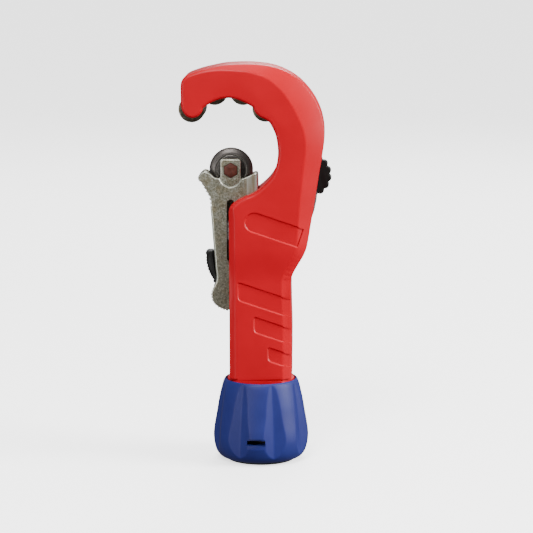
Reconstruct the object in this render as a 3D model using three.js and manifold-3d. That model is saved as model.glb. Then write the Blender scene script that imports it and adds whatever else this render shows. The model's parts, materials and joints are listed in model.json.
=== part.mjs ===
// Tube cutter with a C-shaped jaw, for pipes from 6 to 35 mm.
// Millimetres. +Z runs up the tool from the knob's base to the jaw, +Y runs from the
// front face to the back, and the jaw opens towards -X. The origin is the centre of the
// flat base under the knob.

import * as THREE from 'three';
import { mergeVertices } from 'three/addons/utils/BufferGeometryUtils.js';
import Module from 'manifold-3d';

const wasm = await Module();
wasm.setup();

// ---------------------------------------------------------------- driving dimensions

const GAP = 0.3; // clearance between neighbouring pieces

// Body
const HEAD_HALF = 11.5; // half the head's thickness
const HANDLE_HALF = 10.5; // half the handle's thickness
const HANDLE_SIDE = 14.2; // half the handle's width
const BODY_FOOT = 35; // underside of the body, inside the knob's mouth
const CHANNEL_HALF = 8.5; // half the roller channel's width
const SLOT_HALF = 5.4; // half the carriage slot's width
const SLOT_WALL_X = -0.9; // inner wall of the carriage slot
const SLOT_FLOOR = 50; // lower end of the carriage slot
const FOOT_HALF = 11.4; // half the thickness where the handle meets the knob
const COLLAR_RADIUS = 15.2; // round flange in the knob's mouth
const COLLAR_TOP = 37.8;
const HANDLE_END = 38.8; // underside of the handle's corners, above the knob's rim
const FACET_WIDTH = 8.2; // wide facet along the head's outer edge
const FACET_DEPTH = 4.6;

// Jaw: the four rollers lie on one circle
const JAW_X = -13.87;
const JAW_Z = 148.93;
const ROLLER_RING = 20;
const ROLLER_ANGLES = [146, 108.6, 71.6, 35.4]; // degrees round the jaw's centre
const ROLLER_RADIUS = 5.87;
const ROLLER_HALF = 8.1;
const ROLLER_BORE = 3.1;
const ROLLER_AXLE = 1.75;

// Cutting wheel
const WHEEL_X = -13.3;
const WHEEL_Z = 132.5;
const WHEEL_RADIUS = 9.83;
const WHEEL_HALF = 1.9;
const WHEEL_BORE = 4.4;
const AXLE_RADIUS = 2.5;
const HEX_FLATS = 5.8;
const CLIP_Y = 4.4; // middle of the clip that holds the axle
const AXLE_END = 4.95;

// Carriage
const CARRIAGE_HALF = 5;
const CARRIAGE_GAP_HALF = 2.3; // the wheel and the feed bar run in this gap
const CARRIAGE_SLOT_X = -13.4;
const CARRIAGE_SLOT_HALF = 1.7;
const CARRIAGE_SLOT_TOP = 119.4;
const CARRIAGE_SLOT_BOTTOM = 91;

// Feed train
const BAR_HALF = 1.95;
const RACK_X = -14; // tips of the rack's teeth
const BAR_TOP = 109;
const RACK_PITCH = 2;
const RACK_DEPTH = 0.9;
const CROSS_PIN_Z = 105.7;
const CROSS_PIN_RADIUS = 1.4;
const SPINDLE_RADIUS = 4;
const SPINDLE_TOP = 69.5;
const THREAD_PITCH = 1.5; // the ridges are drawn at twice the pitch
const NUT_BOTTOM = 48;
const NUT_TOP = 62;

// Lock
const PAWL_X = -17.3;
const PAWL_Z = 84.4;
const PIVOT_PIN_RADIUS = 0.8;

// Knob
const KNOB_TOP = 37.4;
const FLUTES = 8;
const FLUTE_PHASE = -25.4; // degrees from the front, towards +X, of one flute
const CAVITY_RADIUS = 15.1;
const CAP_RADIUS = 14.8;
const WINDOW_TURN = -3.5; // degrees

// Deburrer
const DEBURRER_X = 21.2;
const DEBURRER_Z = 128.2;
const DEBURRER_RADIUS = 9.3;
const SCALLOPS = 16;
const DETENT_REACH = 5.4; // from the pivot to the detent ball

// ---------------------------------------------------------------- materials

function material(color, roughness, metalness) {
  return new THREE.MeshStandardMaterial({ color, roughness, metalness });
}

const paint = material(0xcc1f1c, 0.42, 0.1);
const rollerSteel = material(0x55503f, 0.38, 0.85);
const blackenedSteel = material(0x4a4644, 0.4, 0.85);
const bronzedSteel = material(0x6b3a26, 0.5, 0.7);
const brightSteel = material(0xb9bab8, 0.28, 1);
const zinc = material(0x8b867a, 0.48, 0.7);
const brass = material(0xb08d47, 0.35, 1);
const blackPlastic = material(0x1b1a18, 0.55, 0);
const bluePlastic = material(0x2c3f86, 0.5, 0);

// ---------------------------------------------------------------- solids

const rad = THREE.MathUtils.degToRad;

// A closed solid from a three.js geometry, with its faces turned outward.
function solid(geometry) {
  const bare = geometry.index ? geometry.toNonIndexed() : geometry.clone();
  bare.deleteAttribute('normal');
  bare.deleteAttribute('uv');
  const merged = mergeVertices(bare, 1e-4);
  const positions = merged.attributes.position.array;
  const corners = [];
  for (let i = 0; i < merged.index.count; i += 3) {
    const [a, b, c] = [0, 1, 2].map((k) => merged.index.array[i + k]);
    if (a !== b && b !== c && c !== a) corners.push([a, b, c]);
  }
  const point = (i) => new THREE.Vector3().fromArray(positions, 3 * i);
  let volume = 0;
  for (const [a, b, c] of corners) volume += point(a).dot(point(b).cross(point(c)));
  const outward = volume < 0 ? corners.map(([a, b, c]) => [a, c, b]) : corners;
  const mesh = new wasm.Mesh({
    numProp: 3,
    vertProperties: new Float32Array(positions),
    triVerts: new Uint32Array(outward.flat()),
  });
  return new wasm.Manifold(mesh);
}

function geometryOf(manifold) {
  const { vertProperties, triVerts } = manifold.getMesh();
  const geometry = new THREE.BufferGeometry();
  geometry.setAttribute('position', new THREE.BufferAttribute(vertProperties, 3));
  geometry.setIndex(new THREE.BufferAttribute(triVerts, 1));
  const faceted = geometry.toNonIndexed();
  faceted.computeVertexNormals();
  return faceted;
}

function join(first, ...others) {
  return others.reduce((whole, piece) => whole.add(piece), first);
}

function cut(first, ...others) {
  return others.reduce((whole, piece) => whole.subtract(piece), first);
}

function box(x0, x1, y0, y1, z0, z1) {
  const geometry = new THREE.BoxGeometry(x1 - x0, y1 - y0, z1 - z0);
  geometry.translate((x0 + x1) / 2, (y0 + y1) / 2, (z0 + z1) / 2);
  return solid(geometry);
}

// A cylinder along Z.
function post(x, y, z0, z1, radius, sides = 32) {
  const geometry = new THREE.CylinderGeometry(radius, radius, z1 - z0, sides);
  geometry.rotateX(Math.PI / 2);
  geometry.translate(x, y, (z0 + z1) / 2);
  return solid(geometry);
}

// A cylinder along Y.
function bar(x, z, y0, y1, radius, sides = 32) {
  const geometry = new THREE.CylinderGeometry(radius, radius, y1 - y0, sides);
  geometry.translate(x, (y0 + y1) / 2, z);
  return solid(geometry);
}

// An outline drawn in X and Z, as thick as y0 to y1.
function plate(shape, y0, y1) {
  const options = { depth: y1 - y0, bevelEnabled: false, curveSegments: 12 };
  const geometry = new THREE.ExtrudeGeometry(shape, options);
  geometry.rotateX(Math.PI / 2);
  geometry.translate(0, y1, 0);
  return solid(geometry);
}

// A profile of [radius, height] pairs turned round Z, or round Y.
function turned(profile, segments = 32) {
  const points = profile.map(([radius, height]) => new THREE.Vector2(radius, height));
  const geometry = new THREE.LatheGeometry(points, segments);
  geometry.rotateX(Math.PI / 2);
  return solid(geometry);
}

function turnedRoundY(profile, x, z, segments = 32) {
  const points = profile.map(([radius, height]) => new THREE.Vector2(radius, height));
  const geometry = new THREE.LatheGeometry(points, segments);
  geometry.translate(x, 0, z);
  return solid(geometry);
}

function polygon(points) {
  return new THREE.Shape(points.map(([x, z]) => new THREE.Vector2(x, z)));
}

function smooth(from, to, value) {
  return THREE.MathUtils.smoothstep(value, from, to);
}

const tool = new THREE.Group();

function addPiece(name, manifold, finish) {
  const mesh = new THREE.Mesh(geometryOf(manifold), finish);
  mesh.name = name;
  tool.add(mesh);
}

// ---------------------------------------------------------------- body

const rollerCentres = ROLLER_ANGLES.map((angle) => [
  JAW_X + ROLLER_RING * Math.cos(rad(angle)),
  JAW_Z + ROLLER_RING * Math.sin(rad(angle)),
]);

// The body's outline: the handle, the C of the jaw with a scallop at each roller, and
// the round back of the head.
function bodyOutline() {
  const spline = (path, points) => path.splineThru(points.map(([x, z]) => new THREE.Vector2(x, z)));
  const path = new THREE.Path();
  path.moveTo(-HANDLE_SIDE, BODY_FOOT);
  path.lineTo(-HANDLE_SIDE, 113);
  spline(path, [[-13.2, 117], [-10.4, 119.4], [-7, 121.2], [-4, 122.4], [-1.2, 124.1], [1.6, 126.4],
    [4, 128.9], [5.8, 131.5], [7.2, 134.8], [8, 139], [8.2, 143.4], [7.4, 149.2], [5, 154.3]]);
  spline(path, [[2.9, 156.3], [0.8, 157.2], [-0.9, 158.7], [-2, 160.6], [-3.2, 161.9]]);
  spline(path, [[-5.2, 163], [-7.4, 164], [-9.6, 164.8], [-11.4, 165.6], [-13.9, 165.9],
    [-16.2, 165.6], [-18.2, 164.6], [-20.3, 163.9]]);
  spline(path, [[-22.3, 162.7], [-24.5, 161.3], [-25.9, 159.3], [-26.9, 157.5]]);
  spline(path, [[-28.3, 156.3], [-30.1, 155.9], [-32.1, 156.5], [-33.8, 157.9], [-34.8, 160.2]]);
  path.lineTo(-34.9, 163.6);
  path.lineTo(-34.8, 170.6);
  spline(path, [[-34.2, 172.8], [-31.2, 175.3], [-26, 177.4], [-16, 179.8], [-7, 180.3], [1, 179.9],
    [8, 178.4], [15, 174.9], [20.9, 169.8], [25.6, 162.6], [28.2, 153.6], [28.2, 144], [26.2, 131.7],
    [23.1, 113], [20.8, 99]]);
  spline(path, [[19.2, 94.6], [15.9, 89], [14.1, 85.6], [13.5, 82], [13.9, 76]]);
  path.lineTo(HANDLE_SIDE, 60);
  path.lineTo(14, BODY_FOOT);
  return path.getPoints(2);
}

// How wide the facet is at a point of the outline.
function facetWidth(x, z) {
  const outerSide = smooth(-20, 22, x) * smooth(96, 128, z);
  const handleSide = 4.4 * (1 - smooth(84, 118, z));
  return 1 + (FACET_WIDTH - 1) * outerSide * outerSide + handleSide;
}

function facetDepth(x, z) {
  const outerSide = smooth(-20, 22, x) * smooth(96, 128, z);
  const handleSide = 2.2 * (1 - smooth(84, 118, z));
  return 1 + (FACET_DEPTH - 1) * outerSide + handleSide;
}

// The inner side of the jaw keeps a narrow edge.
function onInnerSide(x, z) {
  const belowTop = z < 168 && z > 114;
  return belowTop && x < 9 && x > -35.9;
}

// A slab with a facet of changing width along both of its edges.
function facetedSlab(outline) {
  const loop = THREE.ShapeUtils.area(outline) < 0 ? outline.slice().reverse() : outline;
  const points = loop.filter((p, i) => p.distanceTo(loop[(i + 1) % loop.length]) > 0.05);
  const count = points.length;
  const inner = points.map((point, i) => {
    const before = points[(i + count - 1) % count];
    const after = points[(i + 1) % count];
    const along = after.clone().sub(before).normalize();
    const narrow = onInnerSide(point.x, point.y);
    const width = narrow ? 0.9 : facetWidth(point.x, point.y);
    return new THREE.Vector2(point.x - along.y * width, point.y + along.x * width);
  });
  const depths = points.map((p) => (onInnerSide(p.x, p.y) ? 0.9 : facetDepth(p.x, p.y)));
  const rings = [
    inner.map((p) => [p.x, -HEAD_HALF, p.y]),
    points.map((p, i) => [p.x, -HEAD_HALF + depths[i], p.y]),
    points.map((p, i) => [p.x, HEAD_HALF - depths[i], p.y]),
    inner.map((p) => [p.x, HEAD_HALF, p.y]),
  ];
  const positions = rings.flat(2);
  const faces = [];
  for (let ring = 0; ring < 3; ring += 1) {
    for (let i = 0; i < count; i += 1) {
      const a = ring * count + i;
      const b = ring * count + ((i + 1) % count);
      faces.push(a, b, b + count, a, b + count, a + count);
    }
  }
  for (const [a, b, c] of THREE.ShapeUtils.triangulateShape(inner, [])) {
    faces.push(a, c, b);
    faces.push(a + 3 * count, b + 3 * count, c + 3 * count);
  }
  const geometry = new THREE.BufferGeometry();
  geometry.setAttribute('position', new THREE.Float32BufferAttribute(positions, 3));
  geometry.setIndex(faces);
  return solid(geometry);
}

// The side view of the body: the handle is thinner than the head.
function sideProfile() {
  const profile = polygon([
    [-FOOT_HALF, BODY_FOOT - 1], [FOOT_HALF, BODY_FOOT - 1], [FOOT_HALF, 40], [HANDLE_HALF, 72],
    [HANDLE_HALF, 79], [HEAD_HALF + 0.1, 99], [HEAD_HALF + 0.1, 182], [-HEAD_HALF - 0.1, 182],
    [-HEAD_HALF - 0.1, 99], [-HANDLE_HALF, 79], [-HANDLE_HALF, 72], [-FOOT_HALF, 40],
  ]);
  const options = { depth: 100, bevelEnabled: false };
  const geometry = new THREE.ExtrudeGeometry(profile, options);
  geometry.rotateX(Math.PI / 2);
  geometry.rotateZ(Math.PI / 2);
  geometry.translate(-50, 0, 0);
  return solid(geometry);
}

// The handle's corners are turned down to a round foot that fits the knob's mouth.
function turnedFoot() {
  const foot = COLLAR_RADIUS - 0.1;
  return turned([[0, BODY_FOOT - 2], [foot, BODY_FOOT - 2], [foot, HANDLE_END], [60, HANDLE_END],
    [60, 200], [0, 200]], 48);
}

// The channel behind the rollers, cut between the two cheeks.
function rollerChannel() {
  const disc = bar(JAW_X, JAW_Z, -CHANNEL_HALF, CHANNEL_HALF, ROLLER_RING + 6.6, 40);
  return disc.intersect(box(-60, 30, -20, 20, 122, 200));
}

// A shallow recess in the front face, sloping down to the right, with a rounded lower
// corner on its left and its right end running out through the edge.
function slopedRecess(left, top, height, depth) {
  const slope = Math.tan(rad(18));
  const far = 24;
  const radius = Math.min(2.4, height / 3);
  const shape = new THREE.Shape();
  shape.moveTo(left, top);
  shape.lineTo(left, top - height + radius);
  shape.quadraticCurveTo(left, top - height, left + radius, top - height - slope * radius);
  shape.lineTo(far, top - height - slope * (far - left));
  shape.lineTo(far, top - slope * (far - left));
  return plate(shape, -HANDLE_HALF - 3, -HANDLE_HALF + depth);
}

// The blank name-plate recess on the head: a slot with one round end.
function plateRecess() {
  const shape = new THREE.Shape();
  const radius = 4.1;
  shape.absarc(0, 0, radius, Math.PI / 2, 1.5 * Math.PI, false);
  shape.lineTo(30, -radius);
  shape.lineTo(30, radius);
  const options = { depth: 4, bevelEnabled: false, curveSegments: 12 };
  const geometry = new THREE.ExtrudeGeometry(shape, options);
  geometry.rotateZ(rad(-18.5));
  geometry.rotateX(Math.PI / 2);
  geometry.translate(-2.3, -HEAD_HALF + 0.55, 109.9);
  return solid(geometry);
}

function bodyFrame() {
  const slab = facetedSlab(bodyOutline()).intersect(sideProfile()).intersect(turnedFoot());
  const collar = turned([[0, BODY_FOOT], [COLLAR_RADIUS, BODY_FOOT],
    [COLLAR_RADIUS, COLLAR_TOP - 0.5], [COLLAR_RADIUS - 0.6, COLLAR_TOP], [0, COLLAR_TOP]], 48)
    .intersect(box(-20, 20, -FOOT_HALF, FOOT_HALF, 30, 50));
  const carriageSlot = box(-50, SLOT_WALL_X, -SLOT_HALF, SLOT_HALF, SLOT_FLOOR, 130);
  const nutPocket = box(-11.8, 6.4, -5.1, 5.1, 40.6, 67.5);
  const spindleBore = post(0, 0, 30, 72, SPINDLE_RADIUS + 0.6, 24);
  const flangePocket = post(0, 0, 30, 39.2, 7, 32);
  const axleHoles = rollerCentres.map(([x, z]) => bar(x, z, -10.3, 20, ROLLER_AXLE + GAP, 16));
  const deburrerHole = bar(DEBURRER_X, DEBURRER_Z, 5, 20, 2.3, 20);
  const detentHole = bar(DEBURRER_X - DETENT_REACH, DEBURRER_Z, 6.5, 20, 1.5, 16);
  return cut(
    join(slab, collar), rollerChannel(), carriageSlot, nutPocket, spindleBore, flangePocket,
    ...axleHoles, deburrerHole, detentHole, plateRecess(),
    slopedRecess(-9.6, 82.2, 7.6, 0.5),
    slopedRecess(-2.4, 66.6, 6.4, 0.5),
    slopedRecess(3.9, 52.8, 5.6, 0.5),
  );
}

// ---------------------------------------------------------------- rollers

// A roller with a bevelled rim and a through bore.
function guideRoller(x, z) {
  const rim = ROLLER_RADIUS;
  const end = ROLLER_HALF;
  return turnedRoundY([[ROLLER_BORE, -end], [rim - 0.6, -end], [rim, -end + 0.6],
    [rim, end - 0.6], [rim - 0.6, end], [ROLLER_BORE, end], [ROLLER_BORE, -end]], x, z, 24);
}

function sleeve(x, z, inner, outer, half, segments = 16) {
  return turnedRoundY([[inner, -half], [outer, -half], [outer, half], [inner, half],
    [inner, -half]], x, z, segments);
}

function rollerAxle(x, z) {
  return turnedRoundY([[0, -10], [ROLLER_AXLE, -10], [ROLLER_AXLE, 11], [ROLLER_AXLE - 0.3, 11.3],
    [0, 11.3]], x, z, 16);
}

function addRollers() {
  rollerCentres.forEach(([x, z], i) => {
    addPiece(`guide_roller_${i + 1}`, guideRoller(x, z), rollerSteel);
    const bearing = sleeve(x, z, ROLLER_AXLE + GAP, ROLLER_BORE - GAP, ROLLER_HALF - 0.4);
    addPiece(`roller_bearing_${i + 1}`, bearing, brightSteel);
    addPiece(`roller_axle_${i + 1}`, rollerAxle(x, z), brightSteel);
  });
}

// ---------------------------------------------------------------- cutting wheel

// The wheel's section: a hub, a thin web and a sharp knife edge.
function cutterDisc() {
  return [[WHEEL_BORE, -WHEEL_HALF], [6.6, -WHEEL_HALF], [6.9, -1.2], [7.6, -1.1],
    [WHEEL_RADIUS, -0.06], [WHEEL_RADIUS, 0.06], [7.6, 1.1], [6.9, 1.2], [6.6, WHEEL_HALF],
    [WHEEL_BORE, WHEEL_HALF], [WHEEL_BORE, -WHEEL_HALF]];
}

function wheelAxle() {
  const shank = bar(WHEEL_X, WHEEL_Z, -3.2, AXLE_END, AXLE_RADIUS, 24);
  const head = new THREE.CylinderGeometry(HEX_FLATS / Math.sqrt(3), HEX_FLATS / Math.sqrt(3), 2, 6);
  head.translate(WHEEL_X, -4.1, WHEEL_Z);
  const clipGroove = sleeve(WHEEL_X, WHEEL_Z, AXLE_RADIUS - 0.5, 4, 0.35);
  return cut(join(shank, solid(head)), clipGroove.translate([0, CLIP_Y, 0]));
}

// A C-shaped clip in the axle's groove behind the carriage.
function axleClip() {
  const ring = sleeve(WHEEL_X, WHEEL_Z, AXLE_RADIUS - 0.2, 3.4, 0.2).translate([0, CLIP_Y, 0]);
  const mouth = box(WHEEL_X - 1.4, WHEEL_X + 1.4, CLIP_Y - 1, CLIP_Y + 1, WHEEL_Z - 6, WHEEL_Z);
  return ring.subtract(mouth);
}

// ---------------------------------------------------------------- carriage

// One wall of the carriage, seen from the front: two ears, a round scoop between them,
// a serrated left edge, a notch beside the button and a rounded tail.
function carriageWall() {
  const shape = new THREE.Shape();
  shape.moveTo(-1.5, 130.4);
  shape.lineTo(-1.2, 124.7);
  shape.lineTo(-1.5, 91.6);
  shape.lineTo(-6.6, 85.4);
  shape.lineTo(-6.8, 70);
  shape.quadraticCurveTo(-6.9, 68, -9.6, 67.9);
  shape.lineTo(-13.8, 68.4);
  shape.lineTo(-17.7, 70);
  shape.quadraticCurveTo(-21.4, 71.8, -21.7, 75.6);
  shape.quadraticCurveTo(-21.7, 78, -20.1, 80.6);
  shape.quadraticCurveTo(-18.9, 82.4, -19.1, 84.6);
  shape.lineTo(-20.1, 97);
  shape.lineTo(-21.4, 112.8);
  shape.quadraticCurveTo(-21.6, 118.4, -23.2, 122.4);
  shape.lineTo(-26.2, 127.6);
  shape.quadraticCurveTo(-27.9, 130, -26.4, 131.4);
  shape.quadraticCurveTo(-25, 132.4, -23.4, 131.5);
  shape.quadraticCurveTo(-18, 129, CARRIAGE_SLOT_X, 128.7);
  shape.quadraticCurveTo(-8.8, 128.7, -4.6, 130.3);
  shape.quadraticCurveTo(-2.4, 131.7, -1.5, 130.4);
  return shape;
}

// The raised tab over the wheel's axle.
function carriageTab() {
  const shape = new THREE.Shape();
  shape.moveTo(-17.9, 136.8);
  shape.lineTo(-17.4, 137.4);
  shape.lineTo(-9.6, 137.4);
  shape.lineTo(-9.1, 136.8);
  shape.lineTo(-9.1, 128);
  shape.quadraticCurveTo(-10.2, 125.3, CARRIAGE_SLOT_X, 125.2);
  shape.quadraticCurveTo(-16.8, 125.3, -17.9, 128);
  return shape;
}

function carriageSlotShape() {
  const shape = new THREE.Shape();
  const low = CARRIAGE_SLOT_BOTTOM + CARRIAGE_SLOT_HALF;
  const high = CARRIAGE_SLOT_TOP - CARRIAGE_SLOT_HALF;
  shape.absarc(CARRIAGE_SLOT_X, high, CARRIAGE_SLOT_HALF, 0, Math.PI, false);
  shape.absarc(CARRIAGE_SLOT_X, low, CARRIAGE_SLOT_HALF, Math.PI, 2 * Math.PI, false);
  return shape;
}

function serrations() {
  const grooves = [];
  for (let i = 0; i < 8; i += 1) {
    const z = 115 + 1.6 * i;
    const groove = new THREE.CylinderGeometry(0.62, 0.62, 20, 4);
    groove.translate(-22 - 0.13 * Math.min(z - 116, 4.2) - 0.55 * Math.max(z - 120.2, 0), 0, z);
    grooves.push(solid(groove));
  }
  return grooves;
}

function carriage() {
  const body = plate(carriageWall(), -CARRIAGE_HALF, CARRIAGE_HALF);
  const tab = plate(carriageTab(), -CARRIAGE_HALF, CARRIAGE_HALF);
  const gap = CARRIAGE_GAP_HALF;
  const wheelRoom = box(-60, 20, -gap, gap, 120.6, 160);
  const barRoom = box(-18.9, 20, -gap, gap, 60, 121);
  const lockRoom = box(-60, 20, -gap, gap, 60, 96.8);
  const hexSocket = new THREE.CylinderGeometry(3.6, 3.6, 6, 6);
  hexSocket.translate(WHEEL_X, -6.1, WHEEL_Z);
  return cut(
    join(body, tab), wheelRoom, barRoom, lockRoom,
    plate(carriageSlotShape(), -20, 3.9), solid(hexSocket),
    bar(WHEEL_X, WHEEL_Z, 3.9, 8, 3.7, 24),
    bar(WHEEL_X, WHEEL_Z, -8, 8, AXLE_RADIUS + GAP, 24),
    bar(PAWL_X, PAWL_Z, -4.1, 8, PIVOT_PIN_RADIUS + GAP, 16), ...serrations(),
  );
}

// ---------------------------------------------------------------- lock

// A steel lever on the pivot pin: a stem up behind the button, and three teeth at its
// lower end that face the rack.
function lockPawl() {
  const teeth = [[-15.3, 77.2], [-14.4, 76.4], [-15.2, 75.4], [-14.4, 74.6], [-15.2, 73.6],
    [-14.4, 72.8], [-15.2, 71.8]];
  const shape = polygon([[-19.5, 95.4], [-17.9, 95.4], [-17.8, 89.4], [-15.8, 86.2], [-15.8, 78.4],
    ...teeth, [-18.6, 71.6], [-20, 75], [-19.4, 79], [-18.8, 83], [-18.9, 88]]);
  const room = bar(PAWL_X, PAWL_Z, -5, 5, PIVOT_PIN_RADIUS + GAP, 16);
  return plate(shape, -BAR_HALF, BAR_HALF).subtract(room);
}

// The ribbed plastic wedge outside the carriage, clipped on the lever's stem.
function lockButton() {
  const shape = new THREE.Shape();
  shape.moveTo(-21.7, 95.8);
  shape.lineTo(-23.8, 95.8);
  shape.quadraticCurveTo(-24.6, 95.6, -24.6, 94.3);
  shape.lineTo(-23.8, 90.5);
  shape.lineTo(-22.5, 86.6);
  shape.lineTo(-21.4, 83.5);
  shape.lineTo(-20.6, 81.6);
  shape.lineTo(-20.1, 81.4);
  shape.lineTo(-19.7, 82.6);
  shape.lineTo(-19.8, 84.4);
  shape.lineTo(-20.4, 88);
  const pad = plate(shape, -4.2, 4.2);
  const stem = plate(polygon([[-22, 95.7], [-19.8, 95.7], [-19.2, 88], [-19.1, 84], [-20, 82.6]]), -1.9, 1.9);
  const ribs = [];
  for (let i = 0; i < 6; i += 1) {
    const z = 93.4 - 2.1 * i;
    ribs.push(bar(-24.8 + 0.33 * (93.4 - z), z, -8, 8, 0.6, 8));
  }
  return cut(join(pad, stem), ...ribs);
}

function lockSpring() {
  const shape = polygon([[-17.5, 109], [-17.5, 89.8], [-17.15, 89.8], [-17.15, 109]]);
  return plate(shape, -1.6, 1.6);
}

// ---------------------------------------------------------------- feed train

// A flat bar with a rack on its left edge. Its upper end carries the cross pin, and two
// lips at its lower end trap the nut.
function feedBar() {
  const shape = new THREE.Shape();
  shape.moveTo(-9.9, BAR_TOP);
  shape.lineTo(-16.1, BAR_TOP);
  shape.lineTo(-16.1, 101.6);
  shape.lineTo(RACK_X, 100.4);
  for (let z = 93; z > 57; z -= RACK_PITCH) {
    shape.lineTo(RACK_X, z);
    shape.lineTo(RACK_X, z - 0.5);
    shape.lineTo(RACK_X + RACK_DEPTH, z - RACK_PITCH / 2);
    shape.lineTo(RACK_X + RACK_DEPTH, z - RACK_PITCH / 2 - 0.4);
  }
  shape.lineTo(-11.2, 53);
  shape.lineTo(-11.2, 45.2);
  shape.lineTo(-4.7, 45.2);
  shape.lineTo(-4.7, NUT_BOTTOM - GAP);
  shape.lineTo(-6.1, NUT_BOTTOM - GAP);
  shape.lineTo(-6.1, NUT_TOP + GAP);
  shape.lineTo(-4.7, NUT_TOP + GAP);
  shape.lineTo(-4.7, 65);
  shape.lineTo(-9.9, 70);
  const pinHole = bar(CARRIAGE_SLOT_X, CROSS_PIN_Z, -5, 5, CROSS_PIN_RADIUS + GAP, 16);
  return plate(shape, -BAR_HALF, BAR_HALF).subtract(pinHole);
}

function feedNut() {
  const block = box(-5.8, 5.8, -4.7, 4.7, NUT_BOTTOM, NUT_TOP);
  return block.subtract(post(0, 0, 40, 70, SPINDLE_RADIUS + GAP, 24));
}

// The feed screw: threaded above, a thrust flange in the body, a plain end in the knob.
function spindle() {
  const root = SPINDLE_RADIUS - 0.55;
  const profile = [[0, 22.6], [SPINDLE_RADIUS, 22.6], [SPINDLE_RADIUS, 36.6], [6.4, 36.6],
    [6.4, 38.4], [SPINDLE_RADIUS, 38.4], [SPINDLE_RADIUS, 44]];
  for (let z = 44; z < SPINDLE_TOP - 2 * THREAD_PITCH; z += 2 * THREAD_PITCH) {
    profile.push([root, z + THREAD_PITCH], [SPINDLE_RADIUS, z + 2 * THREAD_PITCH]);
  }
  profile.push([0, SPINDLE_TOP]);
  return turned(profile, 16).subtract(post(0, 0, 20, 31, 1.9, 12));
}

function ring(z0, z1, inner, outer, segments = 24) {
  return turned([[inner, z0], [outer, z0], [outer, z1], [inner, z1], [inner, z0]], segments);
}

function retainingRing() {
  return ring(35.4, 36.2, 4.6, 6.6).subtract(box(-1.2, 1.2, 0, 10, 30, 40));
}

// ---------------------------------------------------------------- knob

const knobProfile = [[15.4, 1.4], [17.6, 1.7], [19.7, 3.2], [21.1, 6.4], [21.6, 11], [21, 17],
  [20, 22.8], [19, 28.5], [18.1, 31], [17.6, 33.6], [17.4, 35.6], [16.9, 36.8], [16.2, KNOB_TOP]];

// A straight V-groove down the knob's side. Its root leans outward towards the foot, so
// on the bulging knob it opens to a long diamond with a point at each end.
function flute(angle) {
  const reach = 6;
  const spread = reach * Math.tan(rad(64));
  const ends = [[36.4, 17.1], [0, 20.1]];
  const positions = ends.flatMap(([z, root]) => [
    0, -root, z, spread, -root - reach, z, -spread, -root - reach, z,
  ]);
  const faces = [0, 1, 2, 3, 5, 4, 0, 3, 1, 1, 3, 4, 1, 4, 2, 2, 4, 5, 2, 5, 0, 0, 5, 3];
  const geometry = new THREE.BufferGeometry();
  geometry.setAttribute('position', new THREE.Float32BufferAttribute(positions, 3));
  geometry.setIndex(faces);
  return solid(geometry).rotate([0, 0, angle]);
}

function feedKnob() {
  const outer = turned([[0, 1.4], ...knobProfile, [0, KNOB_TOP]], 48);
  const mouth = post(0, 0, 34.5, 60, COLLAR_RADIUS + 0.6, 48);
  const cavity = post(0, 0, -5, 22, CAVITY_RADIUS, 36);
  const hubBore = post(0, 0, 10, 60, SPINDLE_RADIUS + GAP, 20);
  const flutes = [];
  for (let i = 0; i < FLUTES; i += 1) flutes.push(flute(FLUTE_PHASE + (i * 360) / FLUTES));
  const window = box(-4.15, 4.15, -30, -10, 10.3, 12.3).rotate([0, 0, WINDOW_TURN]);
  return cut(outer, mouth, cavity, hubBore, window, ...flutes);
}

// Cap with a central post for the spare wheel and a short skirt with a latch tongue.
function baseCap() {
  const disc = turned([[0, 0], [CAP_RADIUS - 0.6, 0], [CAP_RADIUS, 0.6], [CAP_RADIUS, 2.4], [0, 2.4]], 36);
  const skirt = ring(1.2, 5.4, 11.8, 13.6, 36);
  const holder = post(0, 0, 1.2, 8.6, WHEEL_BORE - 0.8, 20);
  const tongue = box(-5.2, 5.2, -14, -12.4, 1.2, 13.4).rotate([0, 0, WINDOW_TURN]);
  const round = post(0, 0, -1, 20, CAP_RADIUS, 36);
  return join(disc, skirt, holder, tongue).intersect(round);
}

// ---------------------------------------------------------------- deburrer

function deburrerHub() {
  const shape = new THREE.Shape();
  const steps = SCALLOPS * 4;
  for (let i = 0; i < steps; i += 1) {
    const angle = (2 * Math.PI * i) / steps;
    const bulge = Math.abs(Math.cos((SCALLOPS * angle) / 2));
    const radius = DEBURRER_RADIUS - 0.6 + 1.2 * bulge;
    const x = DEBURRER_X + radius * Math.cos(angle);
    const z = DEBURRER_Z + radius * Math.sin(angle);
    if (i === 0) shape.moveTo(x, z);
    else shape.lineTo(x, z);
  }
  const bore = bar(DEBURRER_X, DEBURRER_Z, 0, 30, 2.3, 20);
  const screwSeat = bar(DEBURRER_X, DEBURRER_Z, 17.2, 30, 4.2, 24);
  return cut(plate(shape, 13.6, 18.4), bore, screwSeat);
}

// A flat spade blade that hangs down along the head's spine when stowed.
function deburrerBlade() {
  const shape = new THREE.Shape();
  shape.moveTo(4.8, -14.8);
  shape.lineTo(4.8, -8.6);
  shape.quadraticCurveTo(3.7, -5, 3.9, 0);
  shape.quadraticCurveTo(3.6, 6.4, -1, 7.5);
  shape.absarc(0, 0, 7.57, rad(97.6), rad(222), false);
  shape.lineTo(-4.8, -7.6);
  shape.lineTo(-4.8, -14.8);
  shape.quadraticCurveTo(-4.4, -22.6, 0, -27.5);
  shape.quadraticCurveTo(4.4, -22.6, 4.8, -14.8);
  const options = { depth: 1.5, bevelEnabled: false, curveSegments: 20 };
  const geometry = new THREE.ExtrudeGeometry(shape, options);
  geometry.rotateZ(rad(-11.2));
  geometry.rotateX(Math.PI / 2);
  geometry.translate(DEBURRER_X, 13.3, DEBURRER_Z);
  return solid(geometry).subtract(bar(DEBURRER_X, DEBURRER_Z, 0, 30, 2.3, 20));
}

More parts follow.
